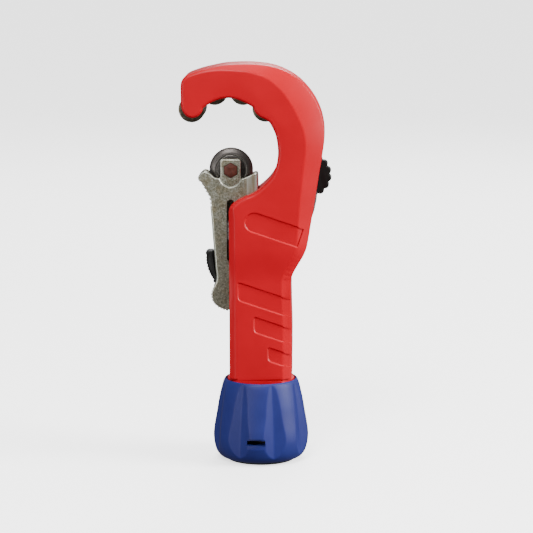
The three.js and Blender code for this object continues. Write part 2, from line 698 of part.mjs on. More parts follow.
function deburrerScrew() {
  return turnedRoundY([[0, 5.3], [2, 5.3], [2, 17.5], [3.8, 17.5], [3.8, 18.9], [3, 19.6], [0, 19.6]],
    DEBURRER_X, DEBURRER_Z, 20);
}

function detentBall() {
  const geometry = new THREE.SphereGeometry(1.2, 10, 6);
  geometry.translate(DEBURRER_X - DETENT_REACH, 10.25, DEBURRER_Z);
  return solid(geometry);
}

// The short spring under the ball: a stack of turns drawn as one grooved plug.
function detentSpring() {
  const profile = [[0, 6.8]];
  for (let i = 0; i < 3; i += 1) {
    profile.push([1.15, 6.8 + 0.7 * i], [1.15, 7.1 + 0.7 * i], [0.8, 7.3 + 0.7 * i]);
  }
  profile.push([0, 8.75]);
  return turnedRoundY(profile, DEBURRER_X - DETENT_REACH, DEBURRER_Z, 10);
}

// ---------------------------------------------------------------- assembly

addPiece('body_frame', bodyFrame(), paint);
addRollers();
addPiece('cutting_wheel', turnedRoundY(cutterDisc(), WHEEL_X, WHEEL_Z, 36), blackenedSteel);
addPiece('wheel_bearing', sleeve(WHEEL_X, WHEEL_Z, AXLE_RADIUS + GAP, WHEEL_BORE - GAP, 1.8), brightSteel);
addPiece('wheel_axle', wheelAxle(), bronzedSteel);
addPiece('axle_clip', axleClip(), brightSteel);
addPiece('slider_carriage', carriage(), zinc);
addPiece('lock_pawl', lockPawl(), brightSteel);
addPiece('lock_button', lockButton(), blackPlastic);
addPiece('pawl_pivot_pin', bar(PAWL_X, PAWL_Z, -3.8, 4.8, PIVOT_PIN_RADIUS, 12), brightSteel);
addPiece('lock_spring', lockSpring(), brightSteel);
addPiece('feed_bar', feedBar(), brightSteel);
addPiece('cross_pin', bar(CARRIAGE_SLOT_X, CROSS_PIN_Z, -4.8, 3.6, CROSS_PIN_RADIUS, 16), brightSteel);
addPiece('feed_nut', feedNut(), brass);
addPiece('spindle', spindle(), brightSteel);
addPiece('thrust_washer', ring(38.5 + 0.05, 38.95, SPINDLE_RADIUS + GAP, 6.5), brass);
addPiece('retaining_ring', retainingRing(), brightSteel);
addPiece('feed_knob', feedKnob(), bluePlastic);
addPiece('knob_washer', ring(20.9, 21.7, 2.1, 7), brightSteel);
addPiece('knob_screw', turned([[0, 17.8], [3.2, 17.8], [3.5, 18.2], [3.5, 20.6], [1.6, 20.6],
  [1.6, 30], [0, 30]], 20), brightSteel);
addPiece('base_cap', baseCap(), blackPlastic);
const spareWheel = turned(cutterDisc(), 24).translate([0, 0, 4.6]);
addPiece('spare_cutting_wheel', spareWheel, blackenedSteel);
addPiece('deburrer_hub', deburrerHub(), blackPlastic);
addPiece('deburrer_blade', deburrerBlade(), brightSteel);
addPiece('deburrer_pivot_screw', deburrerScrew(), brightSteel);
addPiece('detent_ball', detentBall(), brightSteel);
addPiece('detent_spring', detentSpring(), brightSteel);

export default tool;
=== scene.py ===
import bpy
import bmesh
import json
import math
from mathutils import Matrix, Vector


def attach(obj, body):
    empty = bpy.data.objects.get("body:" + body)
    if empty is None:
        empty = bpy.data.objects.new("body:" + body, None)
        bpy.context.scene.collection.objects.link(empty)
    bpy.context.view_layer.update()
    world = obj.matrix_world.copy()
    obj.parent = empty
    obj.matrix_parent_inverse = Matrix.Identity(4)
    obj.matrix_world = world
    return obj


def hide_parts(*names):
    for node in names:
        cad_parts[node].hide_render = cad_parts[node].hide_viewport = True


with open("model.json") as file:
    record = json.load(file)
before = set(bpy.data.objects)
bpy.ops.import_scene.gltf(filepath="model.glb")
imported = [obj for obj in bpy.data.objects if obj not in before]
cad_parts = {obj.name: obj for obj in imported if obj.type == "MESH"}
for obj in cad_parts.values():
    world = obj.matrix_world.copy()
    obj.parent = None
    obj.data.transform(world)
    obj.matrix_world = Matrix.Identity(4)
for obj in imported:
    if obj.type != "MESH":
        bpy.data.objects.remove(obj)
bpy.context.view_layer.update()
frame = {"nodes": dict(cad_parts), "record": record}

# Sizes below are in millimetres and become metres when a mesh is made.
MM = 0.001

# ---------------------------------------------------------------- driving sizes

HEAD_HALF = 11.5
RECESS_DEPTH = 0.5
HANDLE_DROP = 1.2  # how much thinner each side of the handle is than the head
CHANNEL_HALF = 8.5
SLOT_HALF = 5.4
SLOT_WALL_X = -0.9
BODY_FOOT = 35.0
COLLAR_RADIUS = 15.2
COLLAR_TOP = 37.8
HANDLE_END = 38.8  # underside of the handle's corners
FOOT_HALF = 11.4
JAW = (-13.87, 148.93)
ROLLER_RING = 20.0
ROLLER_ANGLES = (146.0, 108.6, 71.6, 35.4)
ROLLER_RADIUS = 5.87
ROLLER_HALF = 8.1
WHEEL = (-13.3, 132.5)
PIVOT = (-17.3, 84.4)
WHEEL_RADIUS = 9.83
CARRIAGE_HALF = 5.0
CARRIAGE_GAP_HALF = 2.3
CARRIAGE_SLOT_X = -13.4
KNOB_TOP = 37.4
FLUTES = 8
FLUTE_PHASE = -25.4
WINDOW_TURN = -3.5
CAP_RADIUS = 15.0
DEBURRER = (21.2, 128.2)
DETENT_REACH = 5.4  # from the deburrer's pivot to its detent ball
PIVOT_BORE = 2.3
PLATE_END = (-2.3, 109.9)  # centre of the name-plate recess's round end
PLATE_SLOPE = -18.5
GROOVE_SLOPE = 18
TAPER_START = 82.0  # the handle thins between these heights
TAPER_END = 99.0
FOOT_GROWS = 72.0  # below this height the handle thickens again
LOBES = 16


# ---------------------------------------------------------------- mesh helpers

def new_object(name, points, faces, smooth=True):
    mesh = bpy.data.meshes.new(name)
    mesh.from_pydata([(x * MM, y * MM, z * MM) for x, y, z in points], [], faces)
    mesh.validate()
    bm = bmesh.new()
    bm.from_mesh(mesh)
    bmesh.ops.recalc_face_normals(bm, faces=bm.faces)
    bm.to_mesh(mesh)
    bm.free()
    obj = bpy.data.objects.new(name, mesh)
    bpy.context.scene.collection.objects.link(obj)
    if smooth:
        mesh.polygons.foreach_set("use_smooth", [True] * len(mesh.polygons))
    return obj


def bake(obj):
    """Applies the object's modifiers."""
    bpy.context.view_layer.update()
    graph = bpy.context.evaluated_depsgraph_get()
    mesh = bpy.data.meshes.new_from_object(obj.evaluated_get(graph))
    old = obj.data
    obj.modifiers.clear()
    obj.data = mesh
    mesh.name = obj.name
    bpy.data.meshes.remove(old)
    return obj


def combine(target, cutter, operation):
    """One boolean step. The cutter is used up."""
    modifier = target.modifiers.new("combine", "BOOLEAN")
    modifier.operation = operation
    modifier.solver = "EXACT"
    modifier.object = cutter
    bake(target)
    bpy.data.objects.remove(cutter)
    return target


def carve(target, *cutters):
    for cutter in cutters:
        combine(target, cutter, "DIFFERENCE")
    return target


def fuse(target, *others):
    for other in others:
        combine(target, other, "UNION")
    return target


def shade(obj, angle=32):
    """Smooth shading, with edges sharper than the angle kept crisp."""
    mesh = obj.data
    mesh.polygons.foreach_set("use_smooth", [True] * len(mesh.polygons))
    mesh.set_sharp_from_angle(angle=math.radians(angle))
    return obj


def tidy(obj):
    """Merges points that lie on each other, closes pinholes and turns the faces outward."""
    bm = bmesh.new()
    bm.from_mesh(obj.data)
    bmesh.ops.remove_doubles(bm, verts=bm.verts, dist=0.002 * MM)
    bmesh.ops.dissolve_degenerate(bm, edges=bm.edges, dist=0.001 * MM)
    gaps = [edge for edge in bm.edges if len(edge.link_faces) == 1]
    bmesh.ops.holes_fill(bm, edges=gaps, sides=6)
    bmesh.ops.recalc_face_normals(bm, faces=bm.faces)
    bm.to_mesh(obj.data)
    bm.free()
    return obj


def box(name, x0, x1, y0, y1, z0, z1):
    points = [(x, y, z) for x in (x0, x1) for y in (y0, y1) for z in (z0, z1)]
    faces = [(0, 1, 3, 2), (4, 6, 7, 5), (0, 4, 5, 1), (2, 3, 7, 6), (0, 2, 6, 4), (1, 5, 7, 3)]
    return new_object(name, points, faces, smooth=False)


def turned(name, profile, segments=64, closed=False):
    """Turns [radius, height] pairs round Z. An open profile starts and ends on the axis."""
    points = []
    rings = []
    for radius, height in profile:
        if radius < 1e-6:
            rings.append([len(points)])
            points.append((0.0, 0.0, height))
            continue
        ring = []
        for i in range(segments):
            angle = 2 * math.pi * i / segments
            ring.append(len(points))
            points.append((radius * math.cos(angle), radius * math.sin(angle), height))
        rings.append(ring)
    faces = []
    pairs = list(zip(rings, rings[1:]))
    if closed:
        pairs.append((rings[-1], rings[0]))
    for low, high in pairs:
        for i in range(segments):
            j = (i + 1) % segments
            if len(low) == 1 and len(high) == 1:
                continue
            if len(low) == 1:
                faces.append((low[0], high[j], high[i]))
            elif len(high) == 1:
                faces.append((low[i], low[j], high[0]))
            else:
                faces.append((low[i], low[j], high[j], high[i]))
    return new_object(name, points, faces)


def move(obj, matrix):
    obj.data.transform(matrix)
    return obj


def along_y(obj, x, z):
    """Lays a piece made round Z along Y, at x and z. Its +Z end points to +Y."""
    turn = Matrix.Rotation(math.radians(-90), 4, "X")
    return move(obj, Matrix.Translation((x * MM, 0, z * MM)) @ turn)


def rod(name, x, z, y0, y1, radius, segments=32):
    """A cylinder along Y at x and z, from y0 to y1."""
    profile = [(0, y0), (radius, y0), (radius, y1), (0, y1)]
    return along_y(turned(name, profile, segments), x, z)


def catmull(keys, steps):
    """A smooth curve through key points of any dimension."""
    curve = []
    last = len(keys) - 1
    for i in range(last):
        p0, p1, p2, p3 = keys[max(i - 1, 0)], keys[i], keys[i + 1], keys[min(i + 2, last)]
        for step in range(steps):
            t = step / steps
            curve.append(tuple(
                0.5 * (2 * b + (c - a) * t + (2 * a - 5 * b + 4 * c - d) * t * t
                       + (3 * b - a - 3 * c + d) * t ** 3)
                for a, b, c, d in zip(p0, p1, p2, p3)
            ))
    curve.append(tuple(keys[-1]))
    return curve


def arc(x, z, radius, start, end, steps):
    """Points of an arc, with angles in degrees."""
    points = []
    for i in range(steps + 1):
        angle = math.radians(start + (end - start) * i / steps)
        points.append((x + radius * math.cos(angle), z + radius * math.sin(angle)))
    return points


def placed(outline, x0, z0, degrees):
    """The outline turned about the origin and then moved to x0 and z0."""
    turn = math.radians(degrees)
    return [(x0 + x * math.cos(turn) - z * math.sin(turn),
             z0 + x * math.sin(turn) + z * math.cos(turn)) for x, z in outline]


def clean_loop(points, shortest=0.03):
    """Drops points that nearly coincide and makes the loop counter-clockwise."""
    kept = []
    for point in points:
        if not kept or math.dist(point[:2], kept[-1][:2]) > shortest:
            kept.append(point)
    if math.dist(kept[0][:2], kept[-1][:2]) <= shortest:
        kept.pop()
    area = sum(a[0] * b[1] - b[0] * a[1] for a, b in zip(kept, kept[1:] + kept[:1]))
    return kept if area > 0 else kept[::-1]


def inward(loop):
    """For each point of a counter-clockwise loop, the direction that insets its edges evenly."""
    result = []
    count = len(loop)
    for i in range(count):
        before, here, after = (Vector(loop[(i + k) % count][:2]) for k in (-1, 0, 1))
        first = (here - before).normalized()
        second = (after - here).normalized()
        normal = Vector((-first.y - second.y, first.x + second.x)).normalized()
        reach = normal.dot(Vector((-first.y, first.x)))
        result.append(normal / max(reach, 0.5))
    return result


def lofted(name, loop, rings):
    """A closed solid from a loop in X and Z. Each ring gives, point by point, the inset and y."""
    directions = inward(loop)
    count = len(loop)
    points = []
    for ring in rings:
        for (x, z, *_), direction, (inset, y) in zip(loop, directions, ring):
            points.append((x + direction.x * inset, y, z + direction.y * inset))
    faces = []
    for r in range(len(rings) - 1):
        for i in range(count):
            j = (i + 1) % count
            a, b = r * count, (r + 1) * count
            faces.append((a + i, a + j, b + j, b + i))
    faces.append(tuple(range(count)))
    last = (len(rings) - 1) * count
    faces.append(tuple(range(last + count - 1, last - 1, -1)))
    return new_object(name, points, faces)


def plate(name, outline, y0, y1, radius=0.0, steps=3):
    """A flat piece with rounded rims. A point's third value, if any, is its own rim radius."""
    loop = clean_loop(outline)
    radii = [point[2] if len(point) > 2 else radius for point in loop]
    if max(radii) <= 0:
        return lofted(name, loop, [[(0, y0)] * len(loop), [(0, y1)] * len(loop)])
    front = []
    for i in range(steps + 1):
        angle = math.pi / 2 * i / steps
        front.append([(r * (1 - math.sin(angle)), r * (1 - math.cos(angle))) for r in radii])
    rings = [[(inset, y0 + depth) for inset, depth in ring] for ring in front]
    rings += [[(inset, y1 - depth) for inset, depth in ring] for ring in reversed(front)]
    return lofted(name, loop, rings)


# ---------------------------------------------------------------- body

def body_outline():
    """The body's outline as points (x, z, facet width, facet depth)."""
    handle_left = [(-13.8, BODY_FOOT, 2.6, 2.0), (-13.85, 80, 2.6, 2.0), (-13.95, 111, 2.6, 2.0)]
    shoulder = [(-13.95, 111, 2.6, 2.0), (-13.9, 114.3, 2.2, 1.7), (-13.2, 117, 1.6, 1.4),
                (-10.4, 119.4, 1.3, 1.1), (-7, 121.2, 1.1, 1.0), (-4, 122.4, 1.1, 1.0),
                (-1.2, 124.1, 1.1, 1.0), (1.6, 126.4, 1.1, 0.9), (4, 128.9, 1.1, 0.9),
                (5.8, 131.5, 1.1, 0.9), (7.1, 134.8, 1.0, 0.9), (7.9, 139, 1.0, 0.9),
                (7.95, 143.4, 1.0, 0.9), (6.95, 149.2, 0.9, 0.9), (4.6, 154.2, 0.9, 0.9)]
    scallop_4 = [(4.6, 154.2), (3.9, 154.95), (3.2, 155.6), (2.1, 156.1), (0.2, 157.05),
                 (-1.4, 158.35), (-2.35, 159.7), (-2.8, 160.95)]
    crown = [(-2.8, 160.95), (-3.4, 161.5), (-5.8, 162.95), (-7.75, 163.85), (-10.3, 164.8),
             (-12.9, 165.35), (-14.8, 165.35), (-16.7, 165.05), (-19.3, 164.3), (-21.5, 163.35),
             (-23.4, 162.15), (-25.05, 160.9)]
    scallop_1 = [(-25.05, 160.9), (-25.3, 160.3), (-25.85, 158.9), (-27.7, 157.1), (-30.2, 156.45),
                 (-32.5, 157.25), (-34.1, 159.2), (-34.85, 161.2), (-35.05, 163.6)]
    scallop_4, crown, scallop_1 = ([(x, z, 0.8, 0.8) for x, z in keys]
                                   for keys in (scallop_4, crown, scallop_1))
    tip = [(-35.05, 163.6, 0.9, 0.9), (-35.1, 170.6, 0.9, 0.9), (-34.6, 173.0, 0.9, 0.9),
           (-33.3, 174.7, 0.9, 0.9), (-31.3, 175.8, 0.9, 0.9), (-26.6, 177.45, 1.0, 1.0),
           (-21.5, 178.7, 1.3, 1.1), (-16, 179.8, 2.2, 1.6), (-9.8, 180.25, 2.9, 2.2),
           (-4.5, 180.3, 3.5, 2.6), (1.0, 179.9, 4.6, 3.2), (4.5, 179.35, 5.4, 3.5),
           (8, 178.4, 6.5, 3.9), (11.5, 176.9, 7.5, 4.2), (15, 174.9, 8.4, 4.4),
           (18.5, 172.1, 9.2, 4.6), (23.0, 166.8, 9.9, 4.7), (26.4, 160.4, 10.0, 4.7),
           (28.2, 153.4, 9.2, 4.7), (28.4, 146.5, 8.2, 4.6), (27.6, 139.5, 7.5, 4.5),
           (26.3, 132.0, 7.0, 4.4), (24.9, 123.0, 6.6, 4.3), (23.6, 114.5, 6.1, 4.1),
           (22.3, 106.5, 5.3, 3.9), (21.0, 99.0, 4.5, 3.6), (19.5, 94.9, 4.2, 3.2),
           (17.5, 91.4, 4.0, 2.9), (15.3, 87.6, 3.9, 2.7), (14.0, 84.2, 3.9, 2.6),
           (13.7, 80.0, 3.9, 2.5), (13.9, 72.0, 3.8, 2.4)]
    handle_right = [(14.2, 60.0, 3.8, 2.4), (14.0, BODY_FOOT, 3.8, 2.4)]
    loop = []
    for keys, steps in ((handle_left, 1), (shoulder, 7), (scallop_4, 6), (crown, 6),
                        (scallop_1, 6), (tip, 6), (handle_right, 1)):
        loop += catmull(keys, steps)
    return clean_loop(loop, 0.12)


def body_slab(name, sink=0.0):
    """The slab with its bevelled facets. Sink lowers its two faces, for the floors of the recesses."""
    loop = body_outline()
    fillet = 0.55
    inset = 0.03 if sink else 0.0  # keeps the floors clear of the outer sides
    edge = []  # how far along the facet, and how far past each of its edges, a ring lies
    for step in range(4):
        edge.append(("front", step / 3))
    for step in range(4):
        edge.append(("side", step / 3))
    rings = []
    for kind, t in edge:
        ring = []
        for x, z, width, depth in loop:
            length = math.hypot(width, depth)
            along = (min(fillet, 0.4 * length) / length)
            if kind == "front":
                a = Vector((width + fillet, 0.0))
                b = Vector((width, 0.0))
                c = Vector((width * (1 - along), depth * along))
            else:
                a = Vector((width * along, depth * (1 - along)))
                b = Vector((0.0, depth))
                c = Vector((0.0, depth + fillet))
            spot = a * (1 - t) ** 2 + b * 2 * t * (1 - t) + c * t ** 2
            ring.append((spot.x + inset, -HEAD_HALF + spot.y + sink))
        rings.append(ring)
    rings += [[(inset, -y) for inset, y in ring] for ring in reversed(rings)]
    return lofted(name, loop, rings)


def groove_cutter(outline, both_faces):
    """A cutter whose walls lean outward where they meet the body's faces."""
    loop = clean_loop(outline)
    face, floor, lean = HEAD_HALF, HEAD_HALF - RECESS_DEPTH, -0.5
    section = [(lean, -face - 1), (lean, -face), (0, -floor)]
    section += [(0, floor), (lean, face), (lean, face + 1)] if both_faces else [(0, 0)]
    return lofted("groove", loop, [[step] * len(loop) for step in section])


def sloped_groove(left, top, height):
    """A shallow recess with a rounded lower left corner, running down to the right."""
    slope = math.tan(math.radians(GROOVE_SLOPE))
    far = 26  # past the body's right edge
    radius = 2.2
    corner = [(left, top - height + radius), (left + 0.25, top - height + 0.55),
              (left + 1.0, top - height - 0.25), (left + radius, top - height - slope * radius)]
    outline = [(left, top - 0.4), *catmull(corner, 5),
               (far, top - height - slope * (far - left)), (far, top - slope * (far - left)),
               (left + 0.5, top)]
    return groove_cutter(outline, True)


def plate_groove():
    """The blank name-plate recess: a slot with one round end, sloping down to the facet."""
    radius = 4.1
    far = 21.7
    outline = arc(0, 0, radius, 90, 270, 20) + [(far, -radius), (far, radius)]
    return groove_cutter(placed(outline, *PLATE_END, PLATE_SLOPE), False)


def taper_handle(obj):
    """Thins the handle below the head and lets it grow again towards its foot."""
    bm = bmesh.new()
    bm.from_mesh(obj.data)
    for z in (40, FOOT_GROWS, *range(76, 102, 2)):
        whole = bm.verts[:] + bm.edges[:] + bm.faces[:]
        bmesh.ops.bisect_plane(bm, geom=whole, plane_co=(0, 0, z * MM), plane_no=(0, 0, 1))
    for vert in bm.verts:
        z = vert.co.z / MM
        y = vert.co.y / MM
        low = 1 - smooth_step(TAPER_START, TAPER_END, z)
        foot = min(max((FOOT_GROWS - z) / 32, 0.0), 1.0)
        drop = HANDLE_DROP * low - foot * (HANDLE_DROP - HEAD_HALF + FOOT_HALF)
        skin = smooth_step(CHANNEL_HALF + 0.05, 10.4, abs(y))  # the inside stays where it is
        vert.co.y -= math.copysign(drop * skin * MM, y)
    bm.to_mesh(obj.data)
    bm.free()
    return obj


def smooth_step(low, high, value):
    t = min(max((value - low) / (high - low), 0.0), 1.0)
    return t * t * (3 - 2 * t)


def roller_centres():
    centres = []
    for angle in ROLLER_ANGLES:
        turn = math.radians(angle)
        centres.append((JAW[0] + ROLLER_RING * math.cos(turn), JAW[1] + ROLLER_RING * math.sin(turn)))
    return centres


def handle_trim():
    """What the handle is kept inside of: round below its corners, anything above them."""
    foot = COLLAR_RADIUS - 0.1
    corner = [(foot, HANDLE_END), (60, HANDLE_END)]
    return turned("trim", [(0, 30), (foot, 30), *corner, (60, 200), (0, 200)], 128)


def make_collar():
    """The round collar under the handle, flattened to the handle's thickness."""
    edge = 0.6
    rim = [(COLLAR_RADIUS - edge + edge * math.cos(a), COLLAR_TOP - edge + edge * math.sin(a))
           for a in (0.0, 0.4, 0.8, 1.2, math.pi / 2)]
    profile = [(0, BODY_FOOT), (COLLAR_RADIUS, BODY_FOOT), *rim, (0, COLLAR_TOP)]
    collar = turned("collar", profile, 128)
    half = FOOT_HALF - 0.02
    return combine(collar, box("flush", -20, 20, -half, half, 30, 50), "INTERSECT")


def roller_channel():
    """The room for the rollers between the jaw's two cheeks."""
    channel = rod("channel", *JAW, -CHANNEL_HALF, CHANNEL_HALF, ROLLER_RING + 6.6, 96)
    return combine(channel, box("upper", -60, 30, -20, 20, 122, 200), "INTERSECT")


def make_body():
    body = body_slab("body_casting")
    floor = body_slab("recess_floor", RECESS_DEPTH)
    carve(body, plate_groove(), sloped_groove(-9.6, 82.2, 7.6), sloped_groove(-2.4, 66.6, 6.4),
          sloped_groove(3.9, 52.8, 5.6))
    fuse(body, floor)
    taper_handle(body)
    combine(body, handle_trim(), "INTERSECT")
    fuse(body, make_collar(), rod("boss", *DEBURRER, 4, HEAD_HALF - 0.1, 4.2, 48))
    carve(body, roller_channel(), box("slot", -50, SLOT_WALL_X, -SLOT_HALF, SLOT_HALF, 50, 130),
          box("nut_pocket", -11.8, 6.4, -5.1, 5.1, 40.6, 67.5))
    # one stepped hole from below: the flange's pocket, then the spindle's bore
    bore = turned("bore", [(0, 30), (7, 30), (7, 39.2), (4.6, 39.2), (4.6, 72), (0, 72)], 48)
    carve(body, bore)
    for x, z in roller_centres():
        carve(body, rod("axle_hole", x, z, -10.3, 20, 2.05, 32))
    carve(body, rod("pivot_hole", *DEBURRER, 5, 20, PIVOT_BORE, 32),
          rod("detent_hole", DEBURRER[0] - DETENT_REACH, DEBURRER[1], 6.5, 20, 1.5, 24))
    tidy(body)
    return shade(body, 28)


# ---------------------------------------------------------------- materials

class Nodes:
    """Short ways to build a node material."""

    def __init__(self, name):
        self.material = bpy.data.materials.new(name)
        self.material.use_nodes = True
        self.tree = self.material.node_tree
        self.tree.nodes.clear()
        self.out = self.tree.nodes.new("ShaderNodeOutputMaterial")
        self.shader = self.tree.nodes.new("ShaderNodeBsdfPrincipled")
        self.link(self.shader, "BSDF", self.out, "Surface")
        self.place = self.tree.nodes.new("ShaderNodeTexCoord")

    def link(self, source, output, target, entry):
        self.tree.links.new(source.outputs[output], target.inputs[entry])

    def set(self, **values):
        for entry, value in values.items():
            self.shader.inputs[entry.replace("_", " ")].default_value = value

    def scaled(self, scale):
        mapping = self.tree.nodes.new("ShaderNodeMapping")
        mapping.inputs["Scale"].default_value = scale
        self.link(self.place, "Object", mapping, "Vector")
        return mapping

    def noise(self, scale, detail=3.0, roughness=0.5, stretch=(1, 1, 1)):
        node = self.tree.nodes.new("ShaderNodeTexNoise")
        node.inputs["Scale"].default_value = scale
        node.inputs["Detail"].default_value = detail
        node.inputs["Roughness"].default_value = roughness
        self.link(self.scaled(stretch), "Vector", node, "Vector")
        return node

    def ramp(self, source, output, stops):
        node = self.tree.nodes.new("ShaderNodeValToRGB")
        elements = node.color_ramp.elements
        while len(elements) < len(stops):
            elements.new(0.5)
        for element, (position, colour) in zip(elements, stops):
            element.position = position
            element.color = (*colour, 1) if len(colour) == 3 else colour
        self.link(source, output, node, "Fac")
        return node

    def grey(self, source, output, low, high, start=0.3, end=0.7):
        return self.ramp(source, output, [(start, (low,) * 3), (end, (high,) * 3)])

    def mix(self, factor, output, first, second):
        node = self.tree.nodes.new("ShaderNodeMix")
        node.data_type = "RGBA"
        self.link(factor, output, node, "Factor")
        self.tree.links.new(first, node.inputs[6])
        self.tree.links.new(second, node.inputs[7])
        return node

    def bump(self, source, output, strength, distance, before=None):
        node = self.tree.nodes.new("ShaderNodeBump")
        node.inputs["Strength"].default_value = strength
        node.inputs["Distance"].default_value = distance
        self.link(source, output, node, "Height")
        if before:
            self.link(before, "Normal", node, "Normal")
        self.link(node, "Normal", self.shader, "Normal")
        return node

    def separate(self):
        node = self.tree.nodes.new("ShaderNodeSeparateXYZ")
        self.link(self.place, "Object", node, "Vector")
        return node

    def remap(self, source, output, low, high):
        """Maps low to high, in metres, onto 0 to 1."""
        node = self.tree.nodes.new("ShaderNodeMapRange")
        node.inputs["From Min"].default_value = low
        node.inputs["From Max"].default_value = high
        self.link(source, output, node, "Value")
        return node

    def calculate(self, operation):
        node = self.tree.nodes.new("ShaderNodeMath")
        node.operation = operation
        return node

    def height_mask(self, top, low):
        """From black at the top height to grey at the low one."""
        fade = self.remap(self.separate(), "Z", top, low)
        return self.ramp(fade, "Result", [(0.0, (0, 0, 0)), (1.0, (0.55, 0.55, 0.55))])

    def rim_highlight_mask(self):
        """Pale on the rounded rims of the carriage and its tab: painted highlights where light catches
        the rims.
        """
        side = self.calculate("ABSOLUTE")
        self.link(self.separate(), "Y", side, 0)
        depth = self.remap(side, "Value", 0.0040, 0.0050)
        dark, tab, rim = (0, 0, 0), (0.5, 0.5, 0.5), (0.6, 0.6, 0.6)
        return self.ramp(depth, "Result", [(0.30, dark), (0.34, tab), (0.47, tab), (0.50, dark),
                                           (0.62, dark), (0.68, rim), (0.92, rim), (0.96, dark)])

    def streak_mask(self):
        """Pale where the carriage's upper right corner was ground, black elsewhere."""
        split = self.separate()
        right = self.remap(split, "X", -0.0078, -0.0060)
        upper = self.remap(split, "Z", 0.118, 0.123)
        both = self.calculate("MULTIPLY")
        self.link(right, "Result", both, 0)
        self.link(upper, "Result", both, 1)
        return self.ramp(both, "Value", [(0.0, (0, 0, 0)), (1.0, (0.85, 0.85, 0.85))])


def srgb(red, green, blue):
    def linear(value):
        value /= 255
        return value / 12.92 if value <= 0.04045 else ((value + 0.055) / 1.055) ** 2.4
    return linear(red), linear(green), linear(blue)


def red_paint():
    m = Nodes("red_paint")
    broad = m.noise(60, 2)
    colour = m.ramp(broad, "Fac", [(0.3, (0.42, 0.0001, 0.007)), (0.7, (0.47, 0.0003, 0.009))])
    m.link(colour, "Color", m.shader, "Base Color")
    fine = m.noise(1500, 3)
    rough = m.grey(fine, "Fac", 0.33, 0.42)
    m.link(rough, "Color", m.shader, "Roughness")
    peel = m.noise(2200, 2)
    m.bump(peel, "Fac", 0.12, 0.00005)
    m.set(Specular_IOR_Level=0.2)
    return m.material


def blue_plastic():
    m = Nodes("blue_plastic")
    broad = m.noise(80, 3)
    colour = m.ramp(broad, "Fac", [(0.3, (0.011, 0.015, 0.115)), (0.7, (0.015, 0.021, 0.14))])
    m.link(colour, "Color", m.shader, "Base Color")
    fine = m.noise(4200, 2)
    rough = m.grey(fine, "Fac", 0.44, 0.56)
    m.link(rough, "Color", m.shader, "Roughness")
    m.bump(fine, "Fac", 0.22, 0.00005)
    m.set(Specular_IOR_Level=0.25)
    return m.material


def black_plastic():
    m = Nodes("black_plastic")
    broad = m.noise(120, 3)
    colour = m.ramp(broad, "Fac", [(0.3, (0.0022, 0.0019, 0.0016)), (0.7, (0.0045, 0.004, 0.0034))])
    m.link(colour, "Color", m.shader, "Base Color")
    fine = m.noise(3600, 2)
    rough = m.grey(fine, "Fac", 0.48, 0.62)
    m.link(rough, "Color", m.shader, "Roughness")
    m.bump(fine, "Fac", 0.3, 0.00005)
    m.set(Specular_IOR_Level=0.3)
    return m.material


def cast_zinc():
    m = Nodes("cast_zinc")
    mottle = m.noise(1700, 6, 0.7)
    colour = m.ramp(mottle, "Fac", [(0.34, srgb(92, 88, 74)), (0.46, srgb(128, 125, 110)),
                                    (0.56, srgb(150, 149, 134)), (0.68, srgb(186, 188, 176))])
    stains = m.noise(240, 3, 0.5)
    stain_mask = m.grey(stains, "Fac", 0.0, 0.7, 0.48, 0.70)
    stain_colour = m.ramp(mottle, "Fac", [(0.36, srgb(92, 80, 54)), (0.64, srgb(150, 138, 108))])
    stains_and_shade = m.mix(stain_mask, "Color", colour.outputs["Color"], stain_colour.outputs["Color"])
    streaks = m.noise(900, 2, 0.5, (1, 0.1, 0.03))
    streak_colour = m.ramp(streaks, "Fac", [(0.38, srgb(128, 104, 72)), (0.50, srgb(150, 146, 128)),
                                            (0.62, srgb(188, 190, 180))])
    # Painted shade: below 122 mm the face is mixed towards a darker colour, fully by 85 mm.
    height = m.height_mask(0.122, 0.085)
    painted_shade_colour = m.ramp(mottle, "Fac", [(0.36, srgb(62, 56, 42)), (0.64, srgb(112, 106, 90))])
    stains_and_shade = m.mix(height, "Color", stains_and_shade.outputs[2], painted_shade_colour.outputs["Color"])
    where = m.streak_mask()
    ground = m.mix(where, "Color", stains_and_shade.outputs[2], streak_colour.outputs["Color"])
    # Painted highlights: the rims are mixed towards a pale colour.
    rim_highlights = m.rim_highlight_mask()
    painted_highlight = m.ramp(mottle, "Fac", [(0.36, srgb(176, 180, 168)), (0.64, srgb(214, 218, 208))])
    final = m.mix(rim_highlights, "Color", ground.outputs[2], painted_highlight.outputs["Color"])
    m.tree.links.new(final.outputs[2], m.shader.inputs["Base Color"])
    rough = m.grey(mottle, "Fac", 0.30, 0.52)
    m.link(rough, "Color", m.shader, "Roughness")
    pits = m.bump(mottle, "Fac", 0.5, 0.00009)
    fine = m.noise(2600, 2)
    m.bump(fine, "Fac", 0.35, 0.00005, pits)
    m.set(Metallic=0.7)
    return m.material


def steel(name, dark, light, rough_low, rough_high, stretch=(1, 1, 1), scale=700, metallic=1.0):
    m = Nodes(name)
    grain = m.noise(scale, 4, 0.6, stretch)
    colour = m.ramp(grain, "Fac", [(0.32, srgb(*dark)), (0.68, srgb(*light))])
    m.link(colour, "Color", m.shader, "Base Color")
    rough = m.grey(grain, "Fac", rough_low, rough_high)
    m.link(rough, "Color", m.shader, "Roughness")
    m.bump(grain, "Fac", 0.25, 0.00004)
    m.set(Metallic=metallic)
    return m.material


